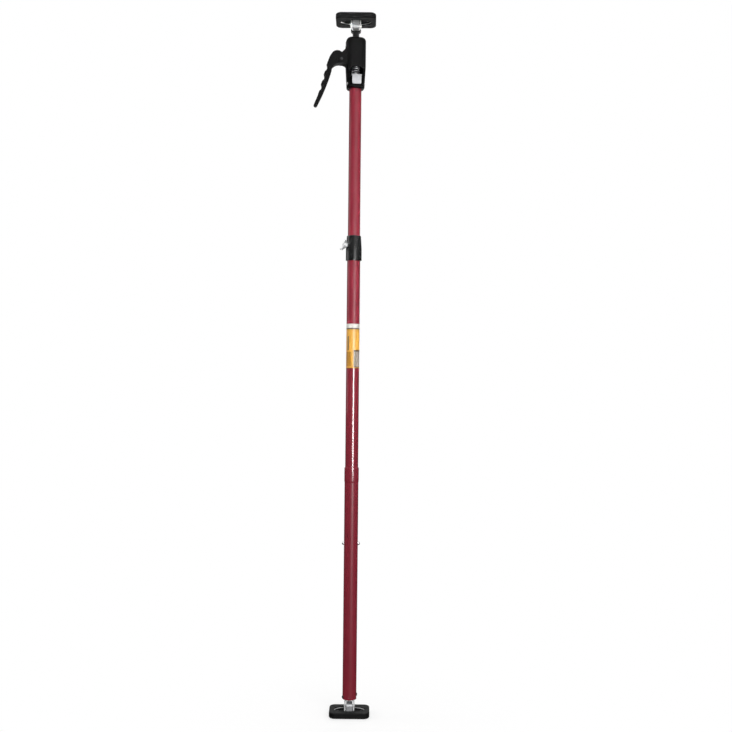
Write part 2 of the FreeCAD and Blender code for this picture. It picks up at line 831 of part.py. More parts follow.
def wing_screw():
    shank = cross_cylinder("wing_shank", "screw_diameter / 2 - running_gap", "shoe_out + running_gap",
                           "hub_end - wing_root")
    hub = cone("wing_hub", "hub_diameter / 2", "hub_diameter / 2.4", "hub_end - hub_start", x="hub_start",
               axis=(0, 1, 0), angle="90")
    wing = [
        ("hub_start + wing_root", "0"),
        ("hub_end - wing_root", "0"),
        ("hub_end - wing_root / 3", "wing_span / 6", "wing_span / 5", "hollow"),
        ("hub_end + wing_sweep", "wing_span / 2 - wing_tip", "wing_tip"),
        ("hub_end + wing_root", "wing_span / 2", "2 * wing_tip"),
        ("hub_end - wing_sweep", "wing_span / 2 - wing_tip", "wing_tip"),
        ("hub_start + wing_root", "wing_span / 5", "wing_span / 2", "hollow"),
    ]
    upper = prism("wing_upper", "XZ_Plane", wing, "wing_thick")
    lower = prism("wing_lower", "XZ_Plane", wing, "wing_thick", axis=(1, 0, 0), angle="180")
    turned_screw = place(fuse("wing_fused", shank, hub, upper, lower), axis=(1, 0, 0), angle="-wing_rest")
    keep("wing_screw", group("wing_screw_set", turned_screw, z="clamp_level", angle="clamp_turn"))


def upper_tube():
    blank = tube("upper_tube_body", "upper_tube_outer", "upper_tube_wall", "upper_tube_bottom",
                 "upper_tube_top")
    bores = tube_rivet_holes("upper_tube", "tube_rivet / 2", "upper_tube_outer / 4", "upper_tube_outer")
    holes = group("upper_tube_rivet_holes", *bores, angle="handle_turn")
    keep("upper_tube", cut("upper_tube_cut", blank, holes))


def tube_rivet_places():
    """The handle's two rivets, one to each side and leaning to the front."""
    return (("right", "-tube_rivet_lean"), ("left", "180 + tube_rivet_lean"))


def tube_rivet_holes(piece, radius, start, end):
    holes = []
    for side, turn in tube_rivet_places():
        name = "%s_%s_rivet" % (piece, side)
        bore = cross_cylinder(name + "_bore", radius, start, end)
        holes.append(group(name + "_hole", bore, z="tube_rivet_level", angle=turn))
    return holes


def rod_guide():
    """A flanged bush in the upper tube's end that centres the rod."""
    bore = "rod_bore / 2"
    core = "upper_tube_outer / 2 - upper_tube_wall"
    profile = [
        (bore, "upper_tube_top - guide_length"),
        (core, "upper_tube_top - guide_length"),
        (core, "upper_tube_top"),
        ("guide_flange / 2", "upper_tube_top"),
        ("guide_flange / 2", "upper_tube_top + guide_flange_rise"),
        (bore, "upper_tube_top + guide_flange_rise"),
    ]
    holes = tube_rivet_holes("guide", "tube_rivet / 2", "tube_rivet_tip", "upper_tube_outer")
    keep("rod_guide", place(cut("guide_cut", turned("guide_body", profile), *holes), angle="handle_turn"))


def tube_rivets():
    rivets = []
    for side, turn in tube_rivet_places():
        name = side + "_tube_rivet"
        head = cone(name + "_head", "tube_rivet_head / 2", "tube_rivet_head / 4", "tube_rivet_rise",
                    x="tube_rivet_seat", axis=(0, 1, 0), angle="90")
        shank = cross_cylinder(name + "_shank", "tube_rivet / 2", "tube_rivet_tip", "tube_rivet_seat")
        rivets.append(group(name + "_set", fuse(name, head, shank), z="tube_rivet_level", angle=turn))
    keep("tube_rivets", group("tube_rivet_pair", *rivets, angle="handle_turn"))


def handle_barrel():
    """The outside of the housing: an upright barrel over a foot that narrows to the tube."""
    body = new_body("handle_barrel")
    plan = rounded_rectangle("handle_width", "handle_depth", "handle_corner")
    upper_plan = outline(body, "barrel_plan", "XY_Plane", plan, lift="handle_waist")
    barrel = pad(body, upper_plan, "handle_top - handle_waist")
    round_edges(body, barrel, "shoulder", level_edges(size("handle_top")))
    waist_plan = outline(body, "waist_plan", "XY_Plane", plan, lift="handle_waist")
    foot = rounded_rectangle("handle_foot_width", "handle_foot_depth", "handle_corner")
    foot_plan = outline(body, "foot_plan", "XY_Plane", foot, lift="handle_bottom")
    loft = body.newObject("PartDesign::AdditiveLoft", "barrel_foot")
    loft.Profile = waist_plan
    loft.Sections = [foot_plan]
    loft.Ruled = True
    round_edges(body, loft, "handle_foot_edge", level_edges(size("handle_bottom")))
    return body


def handle_ear():
    """The web that carries the trigger's pivot, seen from the front."""
    side = "handle_width / 4"

    def on_ear(turn):
        across = "-pivot_out + ear_radius * cos(%s)" % turn
        return (across, "pivot_level + ear_radius * sin(%s)" % turn, "ear_radius")

    ear = [
        ("-(%s)" % side, "ear_foot"),
        ("-(%s)" % side, "flare_top"),
        ("-ear_root", "flare_top", "flare_hollow", "hollow"),
        ("-notch_out", "notch_level"),
        on_ear("ear_high_turn"),
        on_ear("ear_low_turn"),
        ("-pivot_out", "pivot_level - ear_radius"),
        ("-ear_hollow_out", "pivot_level - ear_radius", "ear_hollow", "hollow"),
        ("-ear_root", "ear_foot"),
    ]
    return prism("handle_ear", "XZ_Plane", ear, "ear_span")


def trigger_slot():
    """The room between the ears for the trigger's knuckle and nose."""
    slot = [
        ("-chamber_width / 4", "shelf_top"),
        ("-chamber_width / 4", "slot_roof"),
        ("-pivot_out + ear_radius", "slot_roof"),
        ("-notch_out", "notch_level + running_gap"),
        ("-pivot_out - 2 * hump_radius", "notch_level + hump_radius"),
        ("-pivot_out - 2 * hump_radius", "slot_floor"),
        ("-ear_hollow_out + nose_radius / 2", "slot_floor"),
        ("-ear_hollow_out + nose_radius / 2", "shelf_top"),
    ]
    return prism("trigger_slot", "XZ_Plane", slot, "slot_span")


def handle_window():
    """The arched opening in front of the release plate, with the tube's socket left standing."""
    half = "window_width / 2"
    opening = [
        ("-" + half, "window_bottom"),
        (half, "window_bottom"),
        (half, "window_spring", "window_arch"),
        ("-" + half, "window_spring"),
    ]
    window = prism("window_prism", "XZ_Plane", opening, "handle_depth", both_ways=False)
    socket = cylinder("socket_core", "socket_diameter / 2", "socket_top - handle_bottom", z="handle_bottom")
    return cut("handle_window", window, socket)


def handle_hollows():
    """Everything that is open inside the housing."""
    chamber = rounded_rectangle("chamber_width", "chamber_depth", "chamber_corner")
    chamber_room = prism("drive_chamber", "XY_Plane", chamber, "chamber_top - shelf_top", both_ways=False,
                         z="shelf_top")
    bosses = [
        deep_cylinder("screw_boss_%d" % i, "handle_boss / 2", "-handle_depth", "handle_depth", x=x,
                      z="handle_screw_high")
        for i, x in enumerate(("-handle_screw_out", "handle_screw_out"))
    ]
    well = rounded_rectangle("well_width", "chamber_depth", "chamber_corner")
    well_room = prism("release_well", "XY_Plane", well, "shelf_bottom - socket_top", both_ways=False,
                      z="socket_top")
    heel_ledge = block(
        "heel_ledge",
        ("-release_width / 2", "release_heel - heel_ledge_depth", "socket_top"),
        ("release_width / 2", "handle_depth / 2",
         "release_level - heel_ledge_depth * tan(release_cant) - running_gap"),
    )
    return [
        cut("drive_room", chamber_room, *bosses),
        cut("release_room", well_room, heel_ledge),
        cylinder("tube_socket", "upper_tube_outer / 2", "upper_tube_top + guide_flange_rise - handle_bottom",
                 z="handle_bottom"),
        cylinder("rod_way", "rod_bore / 2", "handle_top + 2 * neck_rise - handle_bottom", z="handle_bottom"),
        trigger_slot(),
        handle_window(),
    ]


def handle_holes():
    """Bores for the screws, the trigger's pin and the tube rivets."""
    pin_hole = deep_cylinder("ear_pin_hole", "trigger_pin / 2", "-ear_span", "ear_span", x="-pivot_out",
                             z="pivot_level")
    holes = [pin_hole]
    for i, (x, z) in enumerate(handle_screw_places()):
        holes.append(deep_cylinder("screw_bore_%d" % i, "handle_screw_shank / 2", "-handle_screw_tip",
                                   "handle_depth", x=x, z=z))
        holes.append(deep_cylinder("screw_sink_%d" % i, "handle_screw_head / 2 + loose_gap",
                                   "handle_screw_seat", "handle_depth", x=x, z=z))
    holes += tube_rivet_holes("handle", "tube_rivet / 2", "tube_rivet_tip", "handle_width")
    holes += tube_rivet_holes("handle_sink", "tube_rivet_head / 2 + loose_gap", "tube_rivet_seat",
                              "handle_width")
    return holes


def handle_screw_places():
    sides = ("-handle_screw_out", "handle_screw_out")
    return [(x, z) for z in ("handle_screw_high", "handle_screw_low") for x in sides]


def handle_halves():
    neck = cone("handle_neck", "neck_diameter / 2", "neck_diameter / 2 - neck_rise", "neck_rise",
                z="handle_top")
    outside = fuse("handle_outside", handle_barrel(), handle_ear(), neck)
    shell = cut("handle_shell", outside, *handle_hollows(), *handle_holes())
    for half, near, far in (("front", "-2 * handle_width", "0"), ("rear", "0", "2 * handle_width")):
        room = block(
            "handle_%s_room" % half,
            ("-3 * handle_width", near, "handle_bottom - 1"),
            ("3 * handle_width", far, "handle_top + 2 * neck_rise"),
        )
        keep("handle_" + half, place(common("handle_%s_half" % half, shell, room), angle="handle_turn"))


def handle_screws():
    screws = []
    for i, (x, z) in enumerate(handle_screw_places()):
        name = "handle_screw_%d" % i
        shank = deep_cylinder(name + "_shank", "handle_screw_shank / 2", "-handle_screw_tip",
                              "handle_screw_seat", x=x, z=z)
        head = cone(name + "_head", "handle_screw_head / 2", "handle_screw_head / 3", "2", x=x,
                    y="handle_screw_seat", z=z, axis=(1, 0, 0), angle="-90")
        screws.append(fuse(name, shank, head))
    keep("handle_screws", group("handle_screw_set", *screws, angle="handle_turn"))


def grip_point(along, out):
    """A point of the grip's outer edge: along the line of crests, and out from it."""
    across = "-pivot_out - grip_start_out - (%s) * sin(grip_lean) - (%s) * cos(grip_lean)" % (along, out)
    up = "pivot_level - grip_start_drop - (%s) * cos(grip_lean) + (%s) * sin(grip_lean)" % (along, out)
    return (across, up)


def finger_grooves():
    """Round crests joined by round hollows, each running smoothly into the next."""
    span = "(crest_radius + groove_radius)"
    share = "(crest_radius / %s)" % span
    join_along = "crest_pitch / 2 * %s" % share
    join_out = "%s * sqrt(%s^2 - crest_pitch^2 / 4) - crest_radius" % (share, span)
    points = []
    for crest in range(FINGER_GROOVES + 1):
        middle = "crest_pitch * %d" % crest
        before = grip_point("%s - %s" % (middle, join_along), join_out)
        after = grip_point("%s + %s" % (middle, join_along), join_out)
        points.append(before + ("crest_radius",))
        points.append(after + ("groove_radius", "hollow") if crest < FINGER_GROOVES else after)
    return points


def trigger_outline():
    """The trigger seen from the front, from the nose over the hump and down to the tip."""
    nose = "-pivot_out + nose_out"
    last_crest = "crest_pitch * %d" % FINGER_GROOVES

    def on_hump(turn):
        return ("-pivot_out + hump_radius * cos(%s)" % turn, "pivot_level + hump_radius * sin(%s)" % turn)

    return [
        (nose, "pivot_level - nose_radius", "nose_radius"),
        (nose + " + nose_radius", "pivot_level", "nose_radius"),
        (nose, "pivot_level + nose_radius", "nose_radius"),
        (nose + " - nose_radius * sin(45)", "pivot_level + nose_radius * cos(45)"),
        (nose + " - nose_radius", "pivot_level + nose_radius * 0.8"),
        ("-hump_foot_out", "pivot_level + hump_foot_rise", "hump_round"),
        on_hump("hump_low_turn") + ("hump_bow",),
        *finger_grooves(),
        grip_point(last_crest + " + tip_start", "tip_outer") + ("tip_round",),
        grip_point(last_crest + " + tip_end", "-(tip_inner - tip_outer) / 2") + ("tip_round",),
        grip_point(last_crest + " + tip_start", "-tip_inner") + ("inner_bow",),
        ("-throat_out", "pivot_level - throat_drop", "throat_radius", "hollow"),
        ("-chin_out", "pivot_level - chin_drop"),
    ]


def grip_edge(edge):
    """Tell whether an edge runs along one side of the grip, clear of the ears."""
    middle = edge.CenterOfMass
    on_side = abs(abs(middle.y) - size("trigger_span") / 2) < 1e-4
    below = middle.x < -size("throat_out") and middle.z < size("pivot_level")
    return on_side and below and edge.BoundBox.YLength < 1e-4


def trigger():
    """A broad grip that narrows to a knuckle between the ears."""
    body = new_body("trigger_body")
    sketch = outline(body, "trigger_outline", "XZ_Plane", trigger_outline())
    blank = pad(body, sketch, "trigger_span", both_ways=True)
    round_edges(body, blank, "trigger_edge", grip_edge)
    sides = []
    spans = (("knuckle_span / 2", "trigger_span"), ("-trigger_span", "-knuckle_span / 2"))
    for i, (near, far) in enumerate(spans):
        round_room = deep_cylinder("ear_room_round_%d" % i, "ear_room", near, far, x="-pivot_out",
                                   z="pivot_level")
        low_room = block(
            "ear_room_low_%d" % i,
            ("-pivot_out", near, "pivot_level - 3 * ear_radius"),
            ("0", far, "pivot_level + ear_room"),
        )
        high_room = block(
            "ear_room_high_%d" % i,
            ("0", near, "-ear_room"),
            ("5 * ear_radius", far, "5 * ear_radius"),
        )
        high_set = place(group("ear_room_tilt_%d" % i, high_room), x="-pivot_out", z="pivot_level",
                         axis=(0, 1, 0), angle="90 - ear_high_turn")
        sides += [round_room, low_room, high_set]
    bore = deep_cylinder("trigger_bore", "trigger_pin / 2 + running_gap", "-trigger_span", "trigger_span",
                         x="-pivot_out", z="pivot_level")
    doc.recompute()
    keep("trigger", place(cut("trigger_cut", body, *sides, bore), angle="handle_turn"))


def trigger_pin():
    pin = deep_cylinder("trigger_pin_shank", "trigger_pin / 2", "-ear_span / 2", "ear_span / 2",
                        x="-pivot_out", z="pivot_level")
    keep("trigger_pin", group("trigger_pin_set", pin, angle="handle_turn"))


def drive_plate():
    plate = block(
        "drive_plate_blank",
        ("-drive_plate_left", "-drive_plate_depth / 2", "drive_plate_low"),
        ("drive_plate_right", "drive_plate_depth / 2", "drive_plate_low + drive_plate_thick"),
    )
    hole = cylinder("drive_plate_hole", "rod_bore / 2", "2 * drive_plate_thick",
                    z="drive_plate_low - drive_plate_thick / 2")
    keep("drive_plate", place(cut("drive_plate_cut", plate, hole), angle="handle_turn"))


def release_plate():
    """A bent plate: the flat grips the rod, and the tab in front hangs down in the window."""
    inner_bend = "tab_bend - release_thick"
    heel = "release_thick / 2"
    strip = [
        ("-release_front - release_thick", "-tab_drop"),
        ("-release_front", "-tab_drop"),
        ("-release_front", "-(%s)" % inner_bend, inner_bend, "hollow"),
        ("-release_front + %s" % inner_bend, "0"),
        ("-(%s)" % heel, "0", heel),
        ("0", heel, heel),
        ("-(%s)" % heel, "release_thick"),
        ("-release_front - release_thick + tab_bend", "release_thick", "tab_bend"),
        ("-release_front - release_thick", "release_thick - tab_bend"),
    ]
    bent_strip = prism("release_strip", "YZ_Plane", strip, "release_width")
    half = "tab_width / 2"
    face = [
        ("-%s" % half, "2 * release_thick"),
        ("-%s" % half, "-tab_drop + tab_corner", "tab_corner"),
        ("-%s + tab_corner" % half, "-tab_drop"),
        ("%s - tab_corner" % half, "-tab_drop", "tab_corner"),
        (half, "-tab_drop + tab_corner"),
        (half, "2 * release_thick"),
    ]
    tab_room = prism("release_tab_room", "XZ_Plane", face, "release_thick + tab_bend", both_ways=False,
                     y="-release_front + %s" % inner_bend)
    flat_room = block(
        "release_flat_room",
        ("-release_width / 2", "-release_front + %s" % inner_bend, "-release_thick"),
        ("release_width / 2", "release_thick", "2 * release_thick"),
    )
    blank = common("release_blank", bent_strip, fuse("release_outline", tab_room, flat_room))
    hole = cylinder("release_hole_core", "release_hole / 2", "3 * release_thick",
                    y="-release_heel + running_gap", z="-release_thick")
    bent = cut("release_bent", blank, hole)
    canted = place(bent, y="release_heel", z="release_level", axis=(1, 0, 0), angle="release_cant")
    keep("release_plate", group("release_plate_set", canted, angle="handle_turn"))


def coil_spring(node, coil, wire, turns, low, high):
    """A round-wire spring on the pole's axis, its wire drawn with flat sides."""
    radius = size(coil) / 2
    wire_radius = size(wire) / 2
    bottom = size(low) + wire_radius
    rise = size(high) - size(low) - 2 * wire_radius
    steps = int(size(turns) * SPRING_STEPS_PER_TURN)
    sections = []
    for step in range(steps + 1):
        turn = 2 * math.pi * step / SPRING_STEPS_PER_TURN
        height = bottom + rise * step / steps
        corners = []
        for side in range(SPRING_SIDES + 1):
            around = 2 * math.pi * side / SPRING_SIDES
            reach = radius + wire_radius * math.cos(around)
            corners.append(Vector(reach * math.cos(turn), reach * math.sin(turn),
                                  height + wire_radius * math.sin(around)))
        sections.append(Part.makePolygon(corners))
    spring = doc.addObject("Part::Feature", node + "_shape")
    spring.Shape = Part.makeLoft(sections, True, True)
    keep(node, place(spring))


def push_rod():
    blank = tube("push_rod_body", "rod_diameter", "rod_wall", "rod_bottom", "total_height - yoke_reach")
    hole = cross_cylinder("rod_pin_hole", "stop_pin / 2", "-rod_diameter", "rod_diameter",
                          z="rod_bottom + stop_bush_length / 2")
    keep("push_rod", cut("push_rod_cut", blank, hole))


def rod_plug():
    """The solid end inside the rod that takes the head yoke's rivet."""
    core = "rod_diameter / 2 - rod_wall"
    profile = [
        ("0", "-rod_plug_length"),
        (core, "-rod_plug_length"),
        (core, "0"),
        ("yoke_rivet / 2", "0"),
        ("yoke_rivet / 2", "-yoke_rivet_reach"),
        ("0", "-yoke_rivet_reach"),
    ]
    keep("rod_plug", turned("rod_plug_body", profile, z="total_height - yoke_reach"))


def rod_stop():
    """A bush pinned to the rod's lower end, which slides in the upper tube."""
    outer = "upper_tube_outer / 2 - upper_tube_wall - loose_gap / 2"
    inner = "rod_diameter / 2"
    profile = [
        (inner, "0"),
        (outer + " - 1", "0"),
        (outer, "1"),
        (outer, "stop_bush_length - 1"),
        (outer + " - 1", "stop_bush_length"),
        (inner, "stop_bush_length"),
    ]
    middle = "rod_bottom + stop_bush_length / 2"
    reach = "upper_tube_outer / 2 - upper_tube_wall - 2"
    hole = cross_cylinder("bush_pin_hole", "stop_pin / 2", "-(%s)" % reach, reach, z=middle)
    bush = turned("stop_bush_body", profile, z="rod_bottom")
    keep("rod_stop_bush", cut("stop_bush_cut", bush, hole))
    keep("rod_stop_pin", cross_cylinder("stop_pin_shank", "stop_pin / 2", "-(%s)" % reach, reach, z=middle))


def build():
    swivel_pad("foot", {})
    swivel_pad("head", {"z": "total_height", "axis": (1, 0, 0), "angle": "180"})
    foot_plug()
    plug_rivets()
    foot_tube()
    middle_tube()
    snap_clip()
    snap_buttons()
    clamp_collar()
    collar_nut()
    clamp_shoe()
    wing_screw()
    upper_tube()
    rod_guide()
    tube_rivets()
    handle_halves()
    handle_screws()
    trigger()
    trigger_pin()
    drive_plate()
    coil_spring("drive_spring", "drive_spring_coil", "drive_spring_wire", "drive_spring_turns",
                "drive_plate_low + drive_plate_thick", "chamber_top")
    release_plate()
    coil_spring("release_spring", "release_spring_coil", "release_spring_wire", "release_spring_turns",
                "release_spring_low", "shelf_bottom")
    push_rod()
    rod_plug()
    rod_stop()


def check():
    """Stop if any step failed or any sub-part isn't a sound solid."""
    for thing in doc.Objects:
        if "Invalid" in thing.State or "Error" in thing.State:
            raise ValueError("%s failed: %s" % (thing.Label, thing.State))
    for node, thing in subparts.items():
        shape = thing.Shape
        if shape.isNull() or not shape.isValid() or not shape.Solids:
            raise ValueError("%s isn't a sound solid" % node)


def export():
    os.makedirs("parts", exist_ok=True)
    for node, thing in subparts.items():
        thing.Shape.exportStep("parts/%s.step" % node)
        solids = len(thing.Shape.Solids)
        print("%s: %d solid(s), %.2f cm3" % (node, solids, thing.Shape.Volume / 1000))


build()
doc.recompute()
check()
export()
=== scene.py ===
import json
import math

import bpy
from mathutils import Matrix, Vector

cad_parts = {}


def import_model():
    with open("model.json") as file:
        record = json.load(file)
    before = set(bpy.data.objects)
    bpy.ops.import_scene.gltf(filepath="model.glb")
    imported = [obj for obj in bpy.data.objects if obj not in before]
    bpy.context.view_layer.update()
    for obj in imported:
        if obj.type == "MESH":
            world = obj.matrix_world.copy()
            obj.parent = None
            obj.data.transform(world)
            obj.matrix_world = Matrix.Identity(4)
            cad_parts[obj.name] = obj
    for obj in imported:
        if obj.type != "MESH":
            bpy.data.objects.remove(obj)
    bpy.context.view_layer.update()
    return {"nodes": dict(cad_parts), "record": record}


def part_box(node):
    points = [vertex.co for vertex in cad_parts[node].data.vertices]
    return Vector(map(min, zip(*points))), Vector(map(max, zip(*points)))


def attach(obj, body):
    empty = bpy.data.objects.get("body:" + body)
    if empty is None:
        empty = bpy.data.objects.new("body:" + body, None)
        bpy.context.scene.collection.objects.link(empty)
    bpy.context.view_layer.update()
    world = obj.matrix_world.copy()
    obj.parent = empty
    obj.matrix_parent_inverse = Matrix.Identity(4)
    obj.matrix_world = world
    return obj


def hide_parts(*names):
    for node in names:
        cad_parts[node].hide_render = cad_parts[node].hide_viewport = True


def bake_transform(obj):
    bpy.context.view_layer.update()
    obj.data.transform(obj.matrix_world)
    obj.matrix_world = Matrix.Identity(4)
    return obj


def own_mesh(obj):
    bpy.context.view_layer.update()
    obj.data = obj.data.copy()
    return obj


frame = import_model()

# Lengths and places are in metres in the CAD model's frame, turns in degrees, and lamps in watts

# The photograph's view: a level camera a little right of the pole, rolled by the pole's lean in the picture
IMAGE_SIZE = 732
HORIZON_ROW = 390
LENS_MM = 50
SENSOR_MM = 36
CAMERA_PLACE = (0.0312, -2.333, 0.745)
CAMERA_ROLL = -0.569

# The label's film on the middle tube, whose ends lie LABEL_WRAP round from the front on either side
LABEL_STAND = 0.00006
LABEL_THICK = 0.00004
LABEL_LOW = 0.7945
LABEL_HIGH = 0.896
LABEL_WRAP = 160
LABEL_TURN = 5
LABEL_ROWS = (0.0, 0.2, 0.6, 1.0)

# Its fields on the yellow ground: an ink, the turns from the front towards +X, and the heights as shares
LABEL_FIELDS = (
    ("white", (-LABEL_WRAP, LABEL_WRAP), (0.9, 1.0)),
    ("line", (-LABEL_WRAP, LABEL_WRAP), (0.875, 0.9)),
    ("bar", (-52, -38), (0.4, 0.72)),
    ("ochre", (-76, -14), (0.04, 0.37)),
    ("line", (8, 90), (0.02, 0.41)),
    ("panel", (11, 87), (0.035, 0.375)),
    ("grey", (11, 32), (0.035, 0.375)),
)

# How far the rod's black paint reaches up the head yoke, and how wavy and how soft the paint's edge is
YOKE_PAINT_RISE = 0.006
PAINT_EDGE_WAVE = 0.0006
PAINT_EDGE_SOFT = 0.0004

# The bead round the wall of each pad's recess, an oval ring that lies BEAD_DEPTH in from the open face, pale
# grey as a painted highlight along the rim
BEAD_DEPTH = 0.0028
BEAD_HALF_LENGTH = 0.03475
BEAD_HALF_WIDTH = 0.01875
BEAD_RADIUS = 0.001
BEAD_STEPS = 96

# The springs round the rod: the joint that presses each and by how much, the heights of its two seats,
# and the radii of its coil and its wire
SPRINGS = {
    "drive_spring": {"joint": "drive_plate_lift", "travel": 0.0088, "low": 1.50865, "high": 1.546,
                     "coil": 0.010, "wire": 0.00098, "turns": 7},
    "release_spring": {"joint": "release_lift", "travel": 0.0011, "low": 1.4672, "high": 1.4845,
                       "coil": 0.0093, "wire": 0.00088, "turns": 4},
}
COIL_STEPS = 40
FLAT_TURN = 0.75
WIRE_SIDES = 12

# The snap clip's strip, whose other sizes are those of its CAD node
CLIP_THICK = 0.0008
CLIP_STEPS = 20

# The floor: its colour to the eye and for the light that it throws back, and how much of its shadow shows,
# from the foot to where it has run out into white
FLOOR_REACH = 12
FLOOR_DROP = 0.0005
FLOOR_COLOUR = (0.9, 0.9, 0.9, 1)
FLOOR_BOUNCE = (0.1, 0.1, 0.1, 1)
FLOOR_SHADOW = 0.36
FLOOR_FADE = (0.05, 0.4)

# The world is white to the eye and lights the object with this share of it
WHITE = (1, 1, 1, 1)
WORLD_LIGHT = 0.68

# The black cloth round the set: half of its opening at the back, and its section as distances and heights
TENT_OPENING = 22
TENT_PROFILE = ((0.056, 0.002), (4.2, 0.002), (4.2, 3.0))
TENT_STEPS = 48

# The lamps: some give plain light and no highlights, some the reverse, and some both
LAMPS = {
    "key": {"place": (1.1, -2.75, 2.3), "aim": (0, 0, 1.5), "size": (2.4, 2.0), "power": 15.5,
            "spread": 76, "shiny": False},
    "middle": {"place": (1.1, -2.75, 1.6), "aim": (0, 0, 1.04), "size": (0.4, 0.4), "power": 0.4,
               "spread": 14, "shiny": False},
    "sheen": {"place": (2.0, -2.0, 2.0), "aim": (0, 0, 1.2), "size": (3.0, 2.4), "power": 5,
              "lit": False},
    "under": {"place": (-0.1, -1.6, 0.4), "aim": (0, 0, 1.6), "size": (0.6, 0.15), "power": 0.5,
              "spread": 9, "shiny": False},
    "strip": {"place": (1.0, -2.75, 0.64), "aim": (0, 0, 0.7), "size": (0.9, 0.64), "power": 90,
              "lit": False},
    "fill": {"place": (-2.7, 0.4, 1.6), "aim": (0, 0, 1.0), "size": (1.2, 2.0), "power": 12},
    "top": {"place": (0.2, -0.8, 3.6), "aim": (0, 0, 0.8), "size": (1.6, 1.6), "power": 22},
    "back": {"place": (0.3, 2.8, 1.9), "aim": (0, 0, 0.9), "size": (1.6, 2.0), "power": 16,
             "shiny": False},
}

# The black paint, and the zinc plate: plain, a lighter copy as painted light and a darker copy as painted
# shade
PAINT_BLACK = (0.006, 0.006, 0.0063)
ZINC = {"colour": (0.8, 0.805, 0.815), "dull": (0.68, 0.685, 0.695),
        "rough": (0.3, 0.44), "metallic": 0.75}
LIT_ZINC = {"colour": (0.84, 0.845, 0.85), "dull": (0.74, 0.745, 0.75),
             "rough": (0.34, 0.48), "metallic": 0.3}
SHADED_ZINC = {"colour": (0.42, 0.425, 0.435), "dull": (0.32, 0.325, 0.335),
             "rough": (0.36, 0.5), "metallic": 0.85}

# How finely long marks run across and along a piece: rub marks on paint, and drawing marks on steel
RUB_MARKS = (900, 900, 9)
DRAWING_MARKS = (60, 60, 1600)

# How alike a surface's rounded and flat normals are at a worn edge, and away from one
EDGE_ALIKE = 0.75
FLAT_ALIKE = 0.98
BEVEL_SAMPLES = 6

# The sockets of a Mix node that take and give colours
MIX_COLOURS = (6, 7)
MIX_RESULT = 2


class Graph:
    """The nodes of a material or a world, made one by one with their inputs set or linked."""

    def __init__(self, owner):
        owner.use_nodes = True
        self.owner = owner
        self.tree = owner.node_tree
        self.tree.nodes.clear()

    def put(self, socket, value):
        if isinstance(value, bpy.types.NodeSocket):
            self.tree.links.new(value, socket)
        else:
            socket.default_value = value

    def add(self, kind, *ordered, settings=None, **named):
        """A node whose inputs are given in their order, or by name with _ for a space."""
        made = self.tree.nodes.new(kind)
        for key, value in (settings or {}).items():
            setattr(made, key, value)
        for socket, value in zip(made.inputs, ordered):
            self.put(socket, value)
        for key, value in named.items():
            self.put(made.inputs[key.replace("_", " ")], value)
        return made

    def math(self, operation, *values):
        return self.add("ShaderNodeMath", *values, settings={"operation": operation}).outputs["Value"]

    def vector_math(self, operation, *vectors):
        return self.add("ShaderNodeVectorMath", *vectors, settings={"operation": operation}).outputs["Value"]

    def place(self):
        return self.add("ShaderNodeTexCoord").outputs["Object"]

    def stretched(self, scale):
        return self.add("ShaderNodeMapping", Vector=self.place(), Scale=scale).outputs["Vector"]

    def noise(self, scale, detail, vector=None):
        made = self.add("ShaderNodeTexNoise", Scale=scale, Detail=detail, Vector=vector or self.place())
        return made.outputs["Fac"]

    def between(self, value, low, high, start=0.3, end=0.7):
        """A value brought from start and end, where most of a noise lies, to low and high."""
        made = self.add("ShaderNodeMapRange", Value=value, From_Min=start, From_Max=end, To_Min=low,
                        To_Max=high)
        return made.outputs["Result"]

    def blend(self, share, first, second):
        made = self.add("ShaderNodeMix", share, settings={"data_type": "RGBA"})
        for index, colour in zip(MIX_COLOURS, (first, second)):
            solid = not isinstance(colour, bpy.types.NodeSocket)
            self.put(made.inputs[index], (*colour, 1) if solid else colour)
        return made.outputs[MIX_RESULT]

    def edges(self, radius):
        """The surface's rounded normal, and how near a point is to an edge."""
        bevel = self.add("ShaderNodeBevel", settings={"samples": BEVEL_SAMPLES}, Radius=radius)
        rounded = bevel.outputs["Normal"]
        flat = self.add("ShaderNodeNewGeometry").outputs["Normal"]
        alike = self.vector_math("DOT_PRODUCT", rounded, flat)
        return rounded, self.between(alike, 1.0, 0.0, EDGE_ALIKE, FLAT_ALIKE)

    def bump(self, height, strength, distance, normal=None):
        made = self.add("ShaderNodeBump", Height=height, Strength=strength, Distance=distance)
        if normal:
            self.put(made.inputs["Normal"], normal)
        return made.outputs["Normal"]

    def mixed(self, share, first, second):
        """One shader turned into another by a share."""
        return self.add("ShaderNodeMixShader", share, first.outputs[0], second.outputs[0])

    def direct_ray(self):
        """1 for what is seen straight, in a reflection or through glass, and 0 for what only lights."""
        path = self.add("ShaderNodeLightPath").outputs
        mirrored = self.math("MAXIMUM", path["Is Camera Ray"], path["Is Glossy Ray"])
        return self.math("MAXIMUM", mirrored, path["Is Transmission Ray"])

    def finish(self, **inputs):
        """The material, closed with one shader."""
        shader = self.add("ShaderNodeBsdfPrincipled", **inputs)
        self.add("ShaderNodeOutputMaterial", Surface=shader.outputs["BSDF"])
        return self.owner


def paler(colour, gain, lift):
    return tuple(min(1, value * gain + lift) for value in colour)


